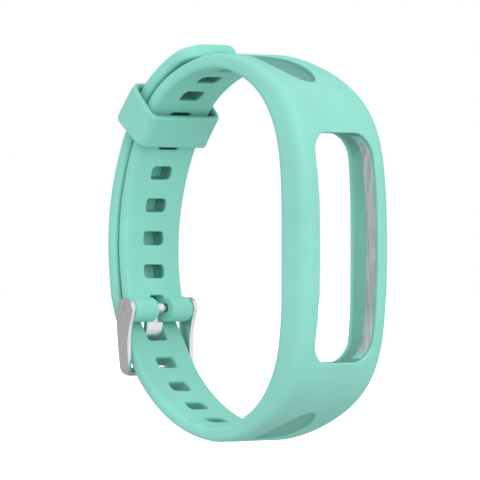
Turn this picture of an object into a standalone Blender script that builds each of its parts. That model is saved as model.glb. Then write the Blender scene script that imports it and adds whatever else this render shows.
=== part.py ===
"""Perforated one-piece wrist band for a capsule-shaped activity tracker, closed as when worn.

Metres, +Z up. The band's loop lies in the Y-Z plane and the wrist axis runs along X. The open
window that holds the tracker faces -Y and the buckle is at the back, on +Y. The origin is the
centre of the wrist opening. Lengths in the design constants are millimetres.
"""

import math

import bmesh
import bpy
import numpy as np
from mathutils import Vector

MM = 0.001

# The wrist face of the band, one row per station: y, z, thickness, half width.
# The front half runs from the middle of the window frame up to the top of the loop, and the
# band's lower front is its mirror image.
FRONT_HALF = [
    (-19.80, 0.0, 6.60, 12.00),
    (-19.55, 12.8, 6.25, 12.00),
    (-18.60, 19.2, 5.80, 11.90),
    (-16.50, 23.7, 5.25, 11.30),
    (-12.90, 27.7, 4.05, 10.20),
    (-9.20, 30.0, 3.45, 9.30),
    (-5.20, 31.5, 3.00, 8.60),
    (-1.00, 32.0, 2.65, 8.20),
]
# The start of the buckle's strap in the knuckle, and the bend at the top of the loop. Between
# them the strap follows the arc that the keeper travels on.
KNUCKLE_ROOT = (18.45, -10.6, 2.15, 7.55)
BUCKLE_SIDE_TOP = [(8.70, 28.55, 2.28, 8.30), (4.10, 31.0, 2.35, 8.20)]
# The lower back, where the tail passes inside the buckle's bar and then outside the knuckle.
TAIL_SIDE_LOW = [
    (3.40, -31.35, 2.30, 8.10),
    (7.75, -29.4, 2.20, 8.05),
    (11.50, -26.65, 2.10, 7.95),
    (14.50, -23.45, 2.10, 7.85),
    (16.80, -19.85, 2.10, 7.75),
    (18.75, -15.95, 2.10, 7.60),
    (20.40, -12.9, 2.10, 7.40),
    (21.60, -9.0, 2.15, 7.35),
]
# The back of the loop, which the keeper travels on, is an arc about this centre: y, z.
BACK_ARC_CENTRE = (-27.5, 0.0)
BACK_ARC_RADIUS = 47.0
BACK_ARC_SPAN = (-7.0, 33.0)
BACK_ARC_HALF_WIDTHS = (7.45, 8.25)
STRAP_THICKNESS = 2.25
LAYER_GAP = 0.50
TAIL_TIP_Y = 2.6
TAIL_THICKNESSES = (2.15, 2.35)
TAIL_HALF_WIDTHS = (7.40, 7.80)
# The tail's tip springs away from the strap under it.
TAIL_LIFT = 0.35
TIP_ROUNDING = 4.3

STRAP_EDGE_RADIUS = 0.85
FRAME_OUTER_RADIUS = 2.30
FRAME_INNER_RADIUS = 1.50

SLOT_LENGTH = 5.60
SLOT_HEIGHT = 2.40
SLOT_CORNER = 0.80
BUCKLE_SLOTS = [6.34, 12.32, 18.30, 24.28, 30.00, 34.95, 40.05, 45.10, 50.10]
# The tongue drags the lower wall of its slot into a slant.
TONGUE_SLOT_LOW_END = (18.15, -16.7)
TONGUE_SLOT_HIGH_END = (20.45, -12.7)
TONGUE_SLOT_DRAG = 1.5
TAIL_SLOT_FIRST = (16.2, -20.7)
TAIL_SLOT_PITCH = 5.30
TAIL_SLOTS_BELOW = 5
# Above the tongue's slot the tail's slots fall between the slots of the strap under it.
TAIL_UPPER_FIRST = 8.1
TAIL_UPPER_PITCH = 6.25
TAIL_END_MARGIN = 6.0
# How much shorter and lower each half of a tail slot is at the outer face.
TAIL_SLOT_TAPER = (1.35, 0.88)

WINDOW_HALF_WIDTH = 8.15
WINDOW_HALF_HEIGHT = 20.4
WINDOW_CORNER = 4.2
# Each grey strip runs along one straight side and this many degrees into both corners.
LINER_REACH = 60.0
LINER_FRONT_DEPTH = 0.75
LINER_HEIGHT = 2.10
LINER_THICKNESS = 0.80
LINER_GAP = 0.28

RECESS_HALF_WIDTH = 4.7
RECESS_HALF_LENGTH = 6.7
RECESS_DEPTH = 1.0
RECESS_STEP_INSET = 1.1
RECESS_STEP_DEPTH = 0.45
RECESS_CENTRE = (-10.0, 31.0)

PIVOT = (18.60, -11.0)
KNUCKLE_RADIUS = 2.10
KNUCKLE_HALF_WIDTH = 7.80
KNUCKLE_BORE = 0.80
TONGUE_GAP_HALF = 1.95
# Outline of that gap across the knuckle: y, z.
TONGUE_GAP = [(15.4, -13.6), (19.6, -13.6), (20.35, -12.5), (21.05, -10.5), (21.25, -8.7), (15.4, -8.7)]

ARM_INNER_X = 8.10
ARM_THICKNESS = 1.10
ARM_CENTRES = [(18.6, -11.0), (19.05, -14.3), (19.2, -17.0), (19.0, -19.6), (18.85, -22.45)]
ARM_HALF_WIDTHS = [1.88, 1.45, 1.15, 0.98, 0.82]
BAR_CENTRE = (18.85, -22.45)
BAR_RADIUS = 0.75
ARM_HOLE_RADIUS = 0.44

# The tongue's shank fits the knuckle's gap, and its blade beyond the knuckle fits a slot.
TONGUE_WIDTH = 3.2
BLADE_WIDTH = 5.0
TONGUE_RING_RADIUS = 1.06
TONGUE_BORE = 0.74
TONGUE_LINE = [
    (19.25, -11.6),
    (19.53, -13.6),
    (19.68, -15.0),
    (19.95, -17.0),
    (20.25, -19.3),
    (20.35, -21.2),
    (20.30, -22.3),
    (20.20, -23.2),
]
TONGUE_HALF_THICKNESS = 0.48

BARREL_RADIUS = 0.65
BARREL_BORE = 0.45
BARREL_HALF_LENGTH = 7.50
PLUNGER_RADIUS = 0.36
PLUNGER_TIP_X = 9.10
PLUNGER_ROOT_X = 4.70
SPRING_RADIUS = 0.29
SPRING_WIRE = 0.06
SPRING_HALF_LENGTH = 4.45
SPRING_TURNS = 9

KEEPER_ANGLE = 28.6
# The loose loop leans over on the straps by this many degrees.
KEEPER_TILT = 5.0
# Its outer side has also slid up past its inner side, by this share of the rise between them.
KEEPER_SKEW = 0.24
KEEPER_WIDTH = 6.8
KEEPER_WALL = 1.10
KEEPER_HALF_WIDTH = 8.55
KEEPER_LAYER_GAP = 0.62


def clear_scene():
    for obj in list(bpy.data.objects):
        bpy.data.objects.remove(obj, do_unlink=True)


def make_material(name, colour, roughness, metallic):
    material = bpy.data.materials.new(name)
    material.use_nodes = True
    shader = material.node_tree.nodes["Principled BSDF"]
    shader.inputs["Base Color"].default_value = (*colour, 1.0)
    shader.inputs["Roughness"].default_value = roughness
    shader.inputs["Metallic"].default_value = metallic
    return material


def link_mesh(name, bm, material=None, sharp_degrees=40.0):
    """Turns a bmesh in millimetres into an object in metres, shaded smooth."""
    bmesh.ops.scale(bm, vec=(MM, MM, MM), verts=bm.verts)
    bmesh.ops.recalc_face_normals(bm, faces=bm.faces)
    mesh = bpy.data.meshes.new(name)
    bm.to_mesh(mesh)
    bm.free()
    mesh.shade_smooth()
    mesh.set_sharp_from_angle(angle=math.radians(sharp_degrees))
    if material:
        mesh.materials.append(material)
    obj = bpy.data.objects.new(name, mesh)
    bpy.context.scene.collection.objects.link(obj)
    return obj


def hide_cutter(obj):
    obj.hide_render = True
    obj.display_type = "WIRE"
    return obj


def cut(target, cutter, name, operation="DIFFERENCE"):
    modifier = target.modifiers.new(name, "BOOLEAN")
    modifier.operation = operation
    modifier.solver = "EXACT"
    modifier.object = hide_cutter(cutter)
    return modifier


def set_origin(obj, y, z):
    """Moves the object's origin to a point of the Y-Z plane, in millimetres."""
    shift = Vector((0.0, y * MM, z * MM))
    for vert in obj.data.vertices:
        vert.co -= shift
    obj.location = shift


def smooth_through(rows):
    """A natural cubic spline through rows of numbers, by chord length of the first two columns."""
    rows = np.array(rows, float)
    steps = np.hypot(*(rows[1:, :2] - rows[:-1, :2]).T)
    knots = np.concatenate([[0.0], np.cumsum(steps)])
    count = len(rows)
    matrix = np.eye(count)
    right = np.zeros_like(rows)
    for i in range(1, count - 1):
        before, after = steps[i - 1], steps[i]
        matrix[i, i - 1 : i + 2] = before, 2 * (before + after), after
        right[i] = 6 * ((rows[i + 1] - rows[i]) / after - (rows[i] - rows[i - 1]) / before)
    bend = np.linalg.solve(matrix, right)

    def at(values):
        values = np.clip(np.atleast_1d(values), knots[0], knots[-1])
        i = np.clip(np.searchsorted(knots, values, side="right") - 1, 0, count - 2)
        width = (knots[i + 1] - knots[i])[:, None]
        low = (values - knots[i])[:, None]
        high = width - low
        curve = (bend[i] * high**3 + bend[i + 1] * low**3) / (6 * width)
        curve += (rows[i] / width - bend[i] * width / 6) * high
        return curve + (rows[i + 1] / width - bend[i + 1] * width / 6) * low

    return at, knots[-1]


class BandPath:
    """The wrist face as a curve by arc length, with the thickness and half width along it."""

    def __init__(self, rows):
        at, end = smooth_through(rows)
        self.samples = at(np.linspace(0.0, end, 4001))
        steps = np.hypot(*np.diff(self.samples[:, :2], axis=0).T)
        self.length_at = np.concatenate([[0.0], np.cumsum(steps)])
        self.length = self.length_at[-1]

    def row(self, s):
        return np.array([np.interp(s, self.length_at, column) for column in self.samples.T])

    def point(self, s):
        return self.row(s)[:2]

    def normal(self, s):
        """Unit vector that points away from the wrist."""
        step = 0.05
        along = self.point(min(s + step, self.length)) - self.point(max(s - step, 0.0))
        along /= np.hypot(*along)
        return np.array([along[1], -along[0]])

    def place(self, s, x, height):
        """The world point at arc length s, across at x, and height above the wrist face."""
        y, z = self.point(s) + self.normal(s) * height
        return Vector((x, y, z))

    def nearest(self, y, z, low=0.0, high=None):
        high = self.length if high is None else high
        inside = (self.length_at >= low) & (self.length_at <= high)
        away = np.hypot(self.samples[:, 0] - y, self.samples[:, 1] - z)
        return self.length_at[np.argmin(np.where(inside, away, np.inf))]


def arc_rows():
    """Stations on the back arc that the keeper travels on, lowest first."""
    rows = []
    low, high = BACK_ARC_HALF_WIDTHS
    for share in np.linspace(0.0, 1.0, 8):
        turn = math.radians(BACK_ARC_SPAN[0] + (BACK_ARC_SPAN[1] - BACK_ARC_SPAN[0]) * share)
        y = BACK_ARC_CENTRE[0] + BACK_ARC_RADIUS * math.cos(turn)
        z = BACK_ARC_CENTRE[1] + BACK_ARC_RADIUS * math.sin(turn)
        rows.append((y, z, STRAP_THICKNESS, low + (high - low) * share**1.5))
    return rows


def band_rows():
    upper = [KNUCKLE_ROOT] + arc_rows() + BUCKLE_SIDE_TOP + FRONT_HALF[::-1]
    lower = [(y, -z, thick, half) for y, z, thick, half in FRONT_HALF[1:]] + TAIL_SIDE_LOW
    inner = BandPath(upper)
    low = inner.nearest(19.2, -4.5, high=20.0)
    high = inner.nearest(TAIL_TIP_Y, 31.6)
    outer = []
    for share in np.linspace(0.0, 1.0, 16):
        s = low + (high - low) * share
        place = inner.place(s, 0.0, inner.row(s)[2] + LAYER_GAP + TAIL_LIFT * share**4)
        thick = TAIL_THICKNESSES[0] + (TAIL_THICKNESSES[1] - TAIL_THICKNESSES[0]) * share
        half = TAIL_HALF_WIDTHS[0] + (TAIL_HALF_WIDTHS[1] - TAIL_HALF_WIDTHS[0]) * share
        outer.append((place.y, place.z, thick, half))
    return upper + lower + outer


def section(path, s, half, inner_radius, outer_radius, steps=3):
    """The band's cross-section at s: a rectangle with rounded corners, in world points."""
    thick = path.row(s)[2]
    corners = [
        (half, thick, outer_radius, 0.0),
        (-half, thick, outer_radius, 90.0),
        (-half, 0.0, inner_radius, 180.0),
        (half, 0.0, inner_radius, 270.0),
    ]
    loop = []
    for x, height, radius, start in corners:
        centre_x = x - math.copysign(radius, x)
        centre_h = height - radius if height else radius
        for i in range(steps + 1):
            turn = math.radians(start + 90.0 * i / steps)
            across = centre_x + radius * math.cos(turn)
            loop.append(path.place(s, across, centre_h + radius * math.sin(turn)))
    return loop


def add_tube(bm, loops, closed=False):
    """Skins a row of equal loops of points, with flat ends unless it closes on itself."""
    rings = [[bm.verts.new(point) for point in loop] for loop in loops]
    pairs = list(zip(rings, rings[1:]))
    if closed:
        pairs.append((rings[-1], rings[0]))
    for ring, after in pairs:
        for i in range(len(ring)):
            j = (i + 1) % len(ring)
            bm.faces.new((ring[i], ring[j], after[j], after[i]))
    if not closed:
        bm.faces.new(rings[0][::-1])
        bm.faces.new(rings[-1])
    return rings


def edge_radii(thick):
    """Corner radii grow from the thin strap's to the window frame's with the thickness."""
    blend = min(max((thick - 2.4) / 4.0, 0.0), 1.0)
    blend = blend * blend * (3.0 - 2.0 * blend)
    inner = STRAP_EDGE_RADIUS + (FRAME_INNER_RADIUS - STRAP_EDGE_RADIUS) * blend
    outer = STRAP_EDGE_RADIUS + (FRAME_OUTER_RADIUS - STRAP_EDGE_RADIUS) * blend
    return inner, outer


def band_body(path, material):
    """The whole strip from the knuckle, up and over, down the front, and round to the tail's tip."""
    tip_start = path.length - TIP_ROUNDING
    places = list(np.linspace(0.0, tip_start, 106))
    for i in range(1, 9):
        places.append(tip_start + (TIP_ROUNDING - 0.05) * math.sin(math.radians(90.0 * i / 8)))
    loops = []
    for s in places:
        _, _, thick, half = path.row(s)
        if s > tip_start:
            along = (s - tip_start) / TIP_ROUNDING
            half = max(half * (1.0 - along**2.4) ** 0.5, 1.0)
        loops.append(section(path, s, half, *edge_radii(thick)))
    bm = bmesh.new()
    add_tube(bm, loops)
    return link_mesh("band", bm, material)


def cylinder_x(bm, y, z, radius, low_x, high_x, sides=24):
    loops = []
    for x in (low_x, high_x):
        turns = [2 * math.pi * i / sides for i in range(sides)]
        loops.append([Vector((x, y + radius * math.cos(t), z + radius * math.sin(t))) for t in turns])
    add_tube(bm, loops)


def knuckle_cylinder():
    bm = bmesh.new()
    cylinder_x(bm, *PIVOT, KNUCKLE_RADIUS, -KNUCKLE_HALF_WIDTH, KNUCKLE_HALF_WIDTH, 32)
    return link_mesh("cut_knuckle", bm)


def knuckle_openings():
    """The spring bar's bore and the gap in the knuckle's middle that the tongue turns in."""
    bm = bmesh.new()
    reach = KNUCKLE_HALF_WIDTH + 1.0
    cylinder_x(bm, *PIVOT, KNUCKLE_BORE, -reach, reach, 24)
    bore = link_mesh("cut_bore", bm)
    bm = bmesh.new()
    plate_x(bm, TONGUE_GAP, -TONGUE_GAP_HALF, TONGUE_GAP_HALF)
    return bore, link_mesh("cut_tongue_gap", bm)


def slot_outline(half_length, half_height, corner, steps=3):
    """A rounded rectangle as (x, along) pairs."""
    points = []
    for sx, sy, start in ((1, 1, 0), (-1, 1, 90), (-1, -1, 180), (1, -1, 270)):
        for i in range(steps + 1):
            turn = math.radians(start + 90.0 * i / steps)
            x = sx * (half_length - corner) + corner * math.cos(turn)
            points.append((x, sy * (half_height - corner) + corner * math.sin(turn)))
    return points


def slot_places(path):
    """The slots of both straps: arc length, half height, drag of the outer low wall, and taper."""
    half = SLOT_HEIGHT / 2
    slots = [(s, half, 0.0, (0.0, 0.0)) for s in BUCKLE_SLOTS]
    middle = path.length / 2
    first = path.nearest(*TAIL_SLOT_FIRST, low=middle)
    places = [first - TAIL_SLOT_PITCH * i for i in range(TAIL_SLOTS_BELOW)]
    low = path.nearest(*TONGUE_SLOT_LOW_END, low=middle)
    high = path.nearest(*TONGUE_SLOT_HIGH_END, low=middle)
    s = (low + high) / 2 + TAIL_UPPER_FIRST
    while s < path.length - TAIL_END_MARGIN:
        places.append(s)
        s += TAIL_UPPER_PITCH
    slots += [(s, half, 0.0, TAIL_SLOT_TAPER) for s in places]
    return slots + [((low + high) / 2, (high - low) / 2, TONGUE_SLOT_DRAG, (0.0, 0.0))]


def slot_cutters(path):
    bm = bmesh.new()
    for s, half, drag, taper in slot_places(path):
        thick = path.row(s)[2]
        centre, out = path.point(s), path.normal(s)
        along = np.array([-out[1], out[0]])
        loops = []
        for level, share in ((-0.18, 0.0), (0.0, 0.0), (thick, 1.0), (thick + 0.18, 1.0)):
            pull = drag * share
            half_x = SLOT_LENGTH / 2 - taper[0] * share
            half_s = half + pull / 2 - taper[1] * share
            corner = min(SLOT_CORNER, half_s * 0.9)
            loop = []
            for x, slide in slot_outline(half_x, half_s, corner):
                y, z = centre + along * (slide - pull / 2) + out * level
                loop.append(Vector((x, y, z)))
            loops.append(loop)
        add_tube(bm, loops)
    return link_mesh("cut_slots", bm)


def window_outline(steps=8):
    """The window's outline as (x, z) pairs."""
    return slot_outline(WINDOW_HALF_WIDTH, WINDOW_HALF_HEIGHT, WINDOW_CORNER, steps)


def liner_run(side, grow, more=0.0, steps=6, straights=8):
    """The side of the window that one grey strip follows, lowest point first, as (x, z) pairs."""
    centre_x = WINDOW_HALF_WIDTH - WINDOW_CORNER
    centre_z = WINDOW_HALF_HEIGHT - WINDOW_CORNER
    radius = WINDOW_CORNER + grow
    turns = np.radians(np.linspace(0.0, LINER_REACH + more, steps + 1))
    upper = [(side * (centre_x + radius * math.cos(t)), centre_z + radius * math.sin(t)) for t in turns]
    run = [(x, -z) for x, z in upper[::-1]]
    for i in range(1, straights):
        run.append((side * (centre_x + radius), centre_z * (2.0 * i / straights - 1.0)))
    return run + upper


def window_cutter():
    bm = bmesh.new()
    outline = window_outline()
    add_tube(bm, [[Vector((x, y, z)) for x, z in outline] for y in (-30.0, -15.0)])
    return link_mesh("cut_window", bm)


def front_face_y(path, z):
    """Where the window frame's front face lies at height z."""
    s = path.nearest(FRONT_HALF[0][0], z, low=path.length * 0.2, high=path.length * 0.6)
    for _ in range(6):
        place = path.place(s, 0.0, path.row(s)[2])
        s += place.z - z
    return path.place(s, 0.0, path.row(s)[2]).y


def add_liner(bm, path, side, inner, outer, front, back, more=0.0):
    """A strip in the window's wall that follows the front face, between two sizes and two depths."""
    loops = []
    runs = [liner_run(side, grow, more) for grow in (0.0, inner, outer)]
    for (_, edge_z), (near_x, near_z), (far_x, far_z) in zip(*runs):
        face = front_face_y(path, edge_z)
        loops.append(
            [
                Vector((near_x, face + front, near_z)),
                Vector((far_x, face + front, far_z)),
                Vector((far_x, face + back, far_z)),
                Vector((near_x, face + back, near_z)),
            ]
        )
    add_tube(bm, loops)


def recess_cutter(path, side, grow, low, high, name):
    """An oval that follows the frame's outer face, cut between two heights relative to it."""
    y, z = RECESS_CENTRE
    middle = path.nearest(y, z * side, low=path.length * 0.15, high=path.length * 0.65)
    bm = bmesh.new()
    sides, rings = 28, 4
    surfaces = []
    for level in (low, high):
        grid = []
        for ring in range(1, rings + 1):
            share = ring / rings
            loop = []
            for i in range(sides):
                turn = 2 * math.pi * i / sides
                x = (RECESS_HALF_WIDTH + grow) * share * math.cos(turn)
                s = middle + (RECESS_HALF_LENGTH + grow) * 0.9 * share * math.sin(turn)
                loop.append(bm.verts.new(path.place(s, x, path.row(s)[2] + level)))
            grid.append(loop)
        heart = bm.verts.new(path.place(middle, 0.0, path.row(middle)[2] + level))
        surfaces.append((heart, grid))
    for heart, grid in surfaces:
        for i in range(sides):
            j = (i + 1) % sides
            bm.faces.new((heart, grid[0][i], grid[0][j]))
            for inside, outside in zip(grid, grid[1:]):
                bm.faces.new((inside[i], outside[i], outside[j], inside[j]))
    for i in range(sides):
        j = (i + 1) % sides
        bottom, top = surfaces[0][1][-1], surfaces[1][1][-1]
        bm.faces.new((bottom[i], bottom[j], top[j], top[i]))
    return link_mesh(name, bm)


def build_band(path):
    silicone = make_material("mint_silicone", (0.33, 0.76, 0.66), 0.55, 0.0)
    band = band_body(path, silicone)
    cut(band, knuckle_cylinder(), "knuckle", "UNION")
    bore, gap = knuckle_openings()
    cut(band, bore, "spring_bar_bore")
    cut(band, gap, "tongue_gap")
    cut(band, slot_cutters(path), "slots")
    cut(band, window_cutter(), "window")
    bm = bmesh.new()
    front = LINER_FRONT_DEPTH - LINER_GAP
    back = LINER_FRONT_DEPTH + LINER_HEIGHT + LINER_GAP
    more = math.degrees(LINER_GAP / WINDOW_CORNER)
    for side in (-1, 1):
        add_liner(bm, path, side, -1.0, LINER_THICKNESS + LINER_GAP, front, back, more)
    cut(band, link_mesh("cut_liner_grooves", bm), "liner_grooves")
    for side, word in ((1, "upper"), (-1, "lower")):
        cut(band, recess_cutter(path, side, 0.0, -RECESS_DEPTH, 1.0, f"cut_{word}_recess"), word)
        deep = -RECESS_DEPTH - RECESS_STEP_DEPTH
        inner = recess_cutter(path, side, -RECESS_STEP_INSET, deep, 0.5, f"cut_{word}_floor")
        cut(band, inner, f"{word}_floor")
    return band


def build_liners(path):
    """The two grey strips let into the long sides of the window."""
    grey = make_material("grey_liner", (0.52, 0.54, 0.55), 0.32, 0.0)
    depth = LINER_FRONT_DEPTH
    for side, word in ((-1, "left"), (1, "right")):
        bm = bmesh.new()
        add_liner(bm, path, side, 0.0, LINER_THICKNESS, depth, depth + LINER_HEIGHT)
        link_mesh(f"window_liner_{word}", bm, grey)


def tapered_outline(centres, halves, steps=10):
    """Outline of a tapering bar with round ends along a smooth line, as (y, z) pairs."""
    at, end = smooth_through([(*c, h) for c, h in zip(centres, halves)])
    rows = at(np.linspace(0.0, end, 22))
    sides = ([], [])
    for i, (y, z, half) in enumerate(rows):
        ahead, behind = rows[min(i + 1, len(rows) - 1)], rows[max(i - 1, 0)]
        along = (ahead - behind)[:2]
        along /= np.hypot(*along)
        normal = np.array([-along[1], along[0]])
        sides[0].append(np.array([y, z]) + normal * half)
        sides[1].append(np.array([y, z]) - normal * half)

    def cap(first, last, centre):
        start = math.atan2(*(first - centre)[::-1])
        sweep = -math.pi
        radius = np.hypot(*(first - centre))
        turns = [start + sweep * i / steps for i in range(1, steps)]
        return [centre + radius * np.array([math.cos(t), math.sin(t)]) for t in turns]

    outline = sides[0] + cap(sides[0][-1], sides[1][-1], rows[-1][:2])
    outline += sides[1][::-1] + cap(sides[1][0], sides[0][0], rows[0][:2])
    return outline


def plate_x(bm, outline, low_x, high_x):
    add_tube(bm, [[Vector((x, y, z)) for y, z in outline] for x in (low_x, high_x)])


def build_buckle():
    steel = make_material("brushed_steel", (0.62, 0.63, 0.64), 0.28, 1.0)
    bm = bmesh.new()
    outline = tapered_outline(ARM_CENTRES, ARM_HALF_WIDTHS)
    far = ARM_INNER_X + ARM_THICKNESS
    plate_x(bm, outline, -far, -ARM_INNER_X)
    frame = link_mesh("buckle_frame", bm, steel)
    bm = bmesh.new()
    plate_x(bm, outline, ARM_INNER_X, far)
    cut(frame, link_mesh("cut_right_arm", bm), "right_arm", "UNION")
    bm = bmesh.new()
    cylinder_x(bm, *BAR_CENTRE, BAR_RADIUS * 0.97, -far + 0.3, far - 0.3, 20)
    cut(frame, link_mesh("cut_bar", bm), "bar", "UNION")
    bm = bmesh.new()
    cylinder_x(bm, *PIVOT, ARM_HOLE_RADIUS, -far - 1.0, far + 1.0, 20)
    cut(frame, link_mesh("cut_arm_holes", bm), "arm_holes")
    set_origin(frame, *PIVOT)
    return frame


def build_tongue():
    steel = make_material("tongue_steel", (0.66, 0.67, 0.68), 0.24, 1.0)
    bm = bmesh.new()
    halves = [TONGUE_HALF_THICKNESS] * (len(TONGUE_LINE) - 1) + [TONGUE_HALF_THICKNESS * 0.75]
    outline = tapered_outline(TONGUE_LINE, halves, 6)
    plate_x(bm, outline, -TONGUE_WIDTH / 2, TONGUE_WIDTH / 2)
    tongue = link_mesh("buckle_tongue", bm, steel)
    bm = bmesh.new()
    plate_x(bm, tapered_outline(TONGUE_LINE[1:], halves[1:], 6), -BLADE_WIDTH / 2, BLADE_WIDTH / 2)
    cut(tongue, link_mesh("cut_blade", bm), "blade", "UNION")
    bm = bmesh.new()
    cylinder_x(bm, *PIVOT, TONGUE_RING_RADIUS, -TONGUE_WIDTH / 2, TONGUE_WIDTH / 2, 28)
    cut(tongue, link_mesh("cut_tongue_ring", bm), "ring", "UNION")
    bm = bmesh.new()
    cylinder_x(bm, *PIVOT, TONGUE_BORE, -TONGUE_WIDTH, TONGUE_WIDTH, 28)
    cut(tongue, link_mesh("cut_tongue_bore", bm), "bore")
    set_origin(tongue, *PIVOT)
    return tongue


def build_spring_bar():
    barrel_steel = make_material("barrel_steel", (0.60, 0.61, 0.62), 0.25, 1.0)
    pin_steel = make_material("pin_steel", (0.70, 0.70, 0.70), 0.20, 1.0)
    spring_steel = make_material("spring_steel", (0.50, 0.51, 0.52), 0.30, 1.0)
    bm = bmesh.new()
    cylinder_x(bm, *PIVOT, BARREL_RADIUS, -BARREL_HALF_LENGTH, BARREL_HALF_LENGTH, 24)
    barrel = link_mesh("spring_bar_barrel", bm, barrel_steel)
    bm = bmesh.new()
    reach = BARREL_HALF_LENGTH + 1.0
    cylinder_x(bm, *PIVOT, BARREL_BORE, -reach, reach, 24)
    cut(barrel, link_mesh("cut_barrel_bore", bm), "bore")
    set_origin(barrel, *PIVOT)
    for side, word in ((-1, "left"), (1, "right")):
        bm = bmesh.new()
        ends = sorted((side * PLUNGER_ROOT_X, side * PLUNGER_TIP_X))
        cylinder_x(bm, *PIVOT, PLUNGER_RADIUS, *ends, 18)
        plunger = link_mesh(f"spring_bar_plunger_{word}", bm, pin_steel)
        set_origin(plunger, *PIVOT)
    build_spring(spring_steel)


def build_spring(material):
    """A compression coil along X inside the spring bar's barrel."""
    curve = bpy.data.curves.new("spring_bar_spring", "CURVE")
    curve.dimensions = "3D"
    curve.bevel_depth = SPRING_WIRE * MM
    curve.bevel_resolution = 1
    curve.use_fill_caps = True
    spline = curve.splines.new("POLY")
    count = SPRING_TURNS * 12 + 1
    spline.points.add(count - 1)
    for i in range(count):
        share = i / (count - 1)
        turn = 2 * math.pi * SPRING_TURNS * share
        x = SPRING_HALF_LENGTH * (2 * share - 1)
        y, z = SPRING_RADIUS * math.cos(turn), SPRING_RADIUS * math.sin(turn)
        spline.points[i].co = (x * MM, y * MM, z * MM, 1.0)
    curve.materials.append(material)
    obj = bpy.data.objects.new("spring_bar_spring", curve)
    obj.location = (0.0, PIVOT[0] * MM, PIVOT[1] * MM)
    bpy.context.scene.collection.objects.link(obj)


def keeper_section(slide, half, low, high, corner, steps):
    """A rounded rectangle across the band, at a distance along the keeper from its middle."""
    middle = (low + high) / 2
    lean = math.radians(KEEPER_TILT)
    heart = middle * np.array([math.cos(math.radians(KEEPER_ANGLE)), math.sin(math.radians(KEEPER_ANGLE))])
    loop = []
    for x, rise in slot_outline(half, (high - low) / 2, corner, steps):
        turn = math.radians(KEEPER_ANGLE) + (slide + KEEPER_SKEW * rise) / middle
        y, z = np.array([math.cos(turn), math.sin(turn)]) * (middle + rise) - heart
        y, z = y * math.cos(lean) - z * math.sin(lean), y * math.sin(lean) + z * math.cos(lean)
        loop.append(Vector((x, BACK_ARC_CENTRE[0] + heart[0] + y, BACK_ARC_CENTRE[1] + heart[1] + z)))
    return loop


def build_keeper():
    """A loop of band material round both straps, curved to the arc that it slides on."""
    silicone = make_material("keeper_silicone", (0.33, 0.76, 0.66), 0.55, 0.0)
    low = BACK_ARC_RADIUS - KEEPER_LAYER_GAP
    high = BACK_ARC_RADIUS + STRAP_THICKNESS + LAYER_GAP + TAIL_THICKNESSES[0] + KEEPER_LAYER_GAP
    half = KEEPER_HALF_WIDTH
    wall = KEEPER_WALL
    bm = bmesh.new()
    skins = []
    for grow, corner in ((0.0, 0.9), (wall, 1.7)):
        rings = []
        for slide in np.linspace(-KEEPER_WIDTH / 2, KEEPER_WIDTH / 2, 7):
            loop = keeper_section(slide, half + grow, low - grow, high + grow, corner, 5)
            rings.append([bm.verts.new(point) for point in loop])
        skins.append(rings)
        for ring, after in zip(rings, rings[1:]):
            for i in range(len(ring)):
                j = (i + 1) % len(ring)
                bm.faces.new((ring[i], ring[j], after[j], after[i]))
    for end in (0, -1):
        hole, rim = skins[0][end], skins[1][end]
        for i in range(len(rim)):
            j = (i + 1) % len(rim)
            bm.faces.new((hole[i], hole[j], rim[j], rim[i]))
    keeper = link_mesh("keeper_loop", bm, silicone, 50.0)
    edge = keeper.modifiers.new("soft_edges", "BEVEL")
    edge.width = 0.35 * MM
    edge.segments = 2
    edge.limit_method = "ANGLE"
    edge.angle_limit = math.radians(50.0)
    set_origin(keeper, *BACK_ARC_CENTRE)
    return keeper


def build():
    clear_scene()
    path = BandPath(band_rows())
    build_band(path)
    build_liners(path)
    build_buckle()
    build_tongue()
    build_spring_bar()
    build_keeper()


build()
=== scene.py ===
"""The looks of the perforated silicone wrist band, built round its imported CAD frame.

Shapes are made in millimetres in the CAD's own frame and become metres as they are linked: the wrist
axis along X, the window on -Y, the buckle on +Y. The band is modelled as a straight strip, with the
length along it, the width across it and the height above the wrist face as its three directions. Its
slots, recesses and window are cut there, its rims are softened, and it is then bent to its loop.
"""

import math

import bmesh
import bpy
import numpy as np
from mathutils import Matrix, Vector


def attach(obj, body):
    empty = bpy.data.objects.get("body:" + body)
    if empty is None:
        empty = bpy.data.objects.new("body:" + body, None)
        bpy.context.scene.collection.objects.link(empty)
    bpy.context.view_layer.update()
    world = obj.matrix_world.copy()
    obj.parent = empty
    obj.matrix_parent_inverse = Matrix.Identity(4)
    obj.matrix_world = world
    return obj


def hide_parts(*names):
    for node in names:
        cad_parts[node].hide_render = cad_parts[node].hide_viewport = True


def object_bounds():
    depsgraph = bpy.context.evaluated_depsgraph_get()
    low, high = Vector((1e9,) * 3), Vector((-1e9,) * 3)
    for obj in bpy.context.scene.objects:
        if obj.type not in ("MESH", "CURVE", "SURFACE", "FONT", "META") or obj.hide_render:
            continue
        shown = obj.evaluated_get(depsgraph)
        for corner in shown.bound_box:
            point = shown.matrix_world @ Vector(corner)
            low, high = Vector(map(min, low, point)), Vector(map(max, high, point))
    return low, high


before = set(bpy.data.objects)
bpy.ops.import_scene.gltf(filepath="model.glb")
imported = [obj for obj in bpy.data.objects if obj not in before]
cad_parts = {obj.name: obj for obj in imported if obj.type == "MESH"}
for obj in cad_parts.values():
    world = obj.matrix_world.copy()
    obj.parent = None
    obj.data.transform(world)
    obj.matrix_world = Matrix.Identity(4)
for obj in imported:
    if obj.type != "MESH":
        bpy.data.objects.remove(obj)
CAD_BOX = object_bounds()

MM = 0.001

# ---------------------------------------------------------------- driving dimensions, in millimetres

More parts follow.
